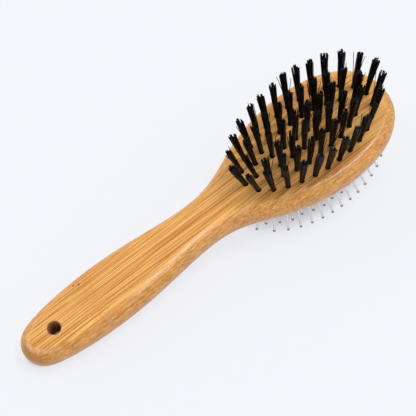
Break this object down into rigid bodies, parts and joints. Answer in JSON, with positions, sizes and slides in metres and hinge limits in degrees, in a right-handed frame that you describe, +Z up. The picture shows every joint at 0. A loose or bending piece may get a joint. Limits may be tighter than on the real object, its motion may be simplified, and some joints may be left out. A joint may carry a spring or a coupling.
{
  "type": "two-sided pet grooming brush",
  "caption": "Two-sided bamboo grooming brush with flared nylon tufts on one face and ball-ended steel pins in a sprung rubber pad on the other.",
  "frame": {"origin": "on the table, under the middle of the brush's outline, with the brush lying on its pins and the butt of its handle", "axes": "+X from the handle's butt towards the head, +Z up out of the bristle side; the board's own face is tilted 6.16 degrees about Y, because the pins lift the head"},
  "size_m": [0.224, 0.0632, 0.0632],
  "materials": {
    "bamboo": "satin lacquered bamboo, fine straight grain along the handle",
    "nylon_filament": "black nylon filaments, soft sheen",
    "anchor_wire": "plain flat wire",
    "pad_rubber": "smooth soft rubber",
    "pin_steel": "bright drawn wire",
    "ball_tip": "smooth dipped ball"
  },
  "bodies": {
    "board": {"bamboo_body": "bamboo", "outer_tufts": "nylon_filament", "outer_anchors": "anchor_wire", "middle_tufts": "nylon_filament", "middle_anchors": "anchor_wire", "centre_tufts": "nylon_filament", "centre_anchors": "anchor_wire"},
    "cushion": {"rubber_cushion": "pad_rubber"},
    "pin_row_01": {"pin_row_01": "pin_steel", "ball_tips_01": "ball_tip"},
    "pin_row_02": {"pin_row_02": "pin_steel", "ball_tips_02": "ball_tip"},
    "pin_row_03": {"pin_row_03": "pin_steel", "ball_tips_03": "ball_tip"},
    "pin_row_04": {"pin_row_04": "pin_steel", "ball_tips_04": "ball_tip"},
    "pin_row_05": {"pin_row_05": "pin_steel", "ball_tips_05": "ball_tip"},
    "pin_row_06": {"pin_row_06": "pin_steel", "ball_tips_06": "ball_tip"},
    "pin_row_07": {"pin_row_07": "pin_steel", "ball_tips_07": "ball_tip"},
    "pin_row_08": {"pin_row_08": "pin_steel", "ball_tips_08": "ball_tip"},
    "pin_row_09": {"pin_row_09": "pin_steel", "ball_tips_09": "ball_tip"},
    "pin_row_10": {"pin_row_10": "pin_steel", "ball_tips_10": "ball_tip"},
    "pin_row_11": {"pin_row_11": "pin_steel", "ball_tips_11": "ball_tip"},
    "pin_row_12": {"pin_row_12": "pin_steel", "ball_tips_12": "ball_tip"},
    "pin_row_13": {"pin_row_13": "pin_steel", "ball_tips_13": "ball_tip"},
    "pin_row_14": {"pin_row_14": "pin_steel", "ball_tips_14": "ball_tip"}
  },
  "joints": [
    {"name": "cushion_sink", "type": "slide", "parent": "board", "child": "cushion", "axis": [-0.1074, 0, 0.9942], "range_m": [0, 0.0022], "stiffness_N_per_m": 6000, "deforming": ["rubber_cushion"]},
    {"name": "row_01_rock", "type": "hinge", "parent": "cushion", "child": "pin_row_01", "pos_m": [0.02326, 0, 0.01405], "axis": [0, 1, 0], "range_deg": [-8, 8], "stiffness_Nm_per_rad": 0.1, "deforming": ["rubber_cushion"]},
    {"name": "row_02_rock", "type": "hinge", "parent": "cushion", "child": "pin_row_02", "pos_m": [0.02857, 0, 0.01422], "axis": [0, 1, 0], "range_deg": [-8, 8], "stiffness_Nm_per_rad": 0.1, "deforming": ["rubber_cushion"]},
    {"name": "row_03_rock", "type": "hinge", "parent": "cushion", "child": "pin_row_03", "pos_m": [0.03387, 0, 0.01452], "axis": [0, 1, 0], "range_deg": [-8, 8], "stiffness_Nm_per_rad": 0.1, "deforming": ["rubber_cushion"]},
    {"name": "row_04_rock", "type": "hinge", "parent": "cushion", "child": "pin_row_04", "pos_m": [0.03916, 0, 0.01486], "axis": [0, 1, 0], "range_deg": [-8, 8], "stiffness_Nm_per_rad": 0.1, "deforming": ["rubber_cushion"]},
    {"name": "row_05_rock", "type": "hinge", "parent": "cushion", "child": "pin_row_05", "pos_m": [0.04445, 0, 0.01529], "axis": [0, 1, 0], "range_deg": [-8, 8], "stiffness_Nm_per_rad": 0.1, "deforming": ["rubber_cushion"]},
    {"name": "row_06_rock", "type": "hinge", "parent": "cushion", "child": "pin_row_06", "pos_m": [0.04973, 0, 0.01572], "axis": [0, 1, 0], "range_deg": [-8, 8], "stiffness_Nm_per_rad": 0.1, "deforming": ["rubber_cushion"]},
    {"name": "row_07_rock", "type": "hinge", "parent": "cushion", "child": "pin_row_07", "pos_m": [0.05501, 0, 0.01623], "axis": [0, 1, 0], "range_deg": [-8, 8], "stiffness_Nm_per_rad": 0.1, "deforming": ["rubber_cushion"]},
    {"name": "row_08_rock", "type": "hinge", "parent": "cushion", "child": "pin_row_08", "pos_m": [0.06028, 0, 0.01676], "axis": [0, 1, 0], "range_deg": [-8, 8], "stiffness_Nm_per_rad": 0.1, "deforming": ["rubber_cushion"]},
    {"name": "row_09_rock", "type": "hinge", "parent": "cushion", "child": "pin_row_09", "pos_m": [0.06555, 0, 0.01734], "axis": [0, 1, 0], "range_deg": [-8, 8], "stiffness_Nm_per_rad": 0.1, "deforming": ["rubber_cushion"]},
    {"name": "row_10_rock", "type": "hinge", "parent": "cushion", "child": "pin_row_10", "pos_m": [0.07082, 0, 0.01795], "axis": [0, 1, 0], "range_deg": [-8, 8], "stiffness_Nm_per_rad": 0.1, "deforming": ["rubber_cushion"]},
    {"name": "row_11_rock", "type": "hinge", "parent": "cushion", "child": "pin_row_11", "pos_m": [0.07608, 0, 0.01861], "axis": [0, 1, 0], "range_deg": [-8, 8], "stiffness_Nm_per_rad": 0.1, "deforming": ["rubber_cushion"]},
    {"name": "row_12_rock", "type": "hinge", "parent": "cushion", "child": "pin_row_12", "pos_m": [0.08133, 0, 0.0193], "axis": [0, 1, 0], "range_deg": [-8, 8], "stiffness_Nm_per_rad": 0.1, "deforming": ["rubber_cushion"]},
    {"name": "row_13_rock", "type": "hinge", "parent": "cushion", "child": "pin_row_13", "pos_m": [0.08658, 0, 0.02006], "axis": [0, 1, 0], "range_deg": [-8, 8], "stiffness_Nm_per_rad": 0.1, "deforming": ["rubber_cushion"]},
    {"name": "row_14_rock", "type": "hinge", "parent": "cushion", "child": "pin_row_14", "pos_m": [0.09183, 0, 0.02085], "axis": [0, 1, 0], "range_deg": [-8, 8], "stiffness_Nm_per_rad": 0.1, "deforming": ["rubber_cushion"]}
  ]
}
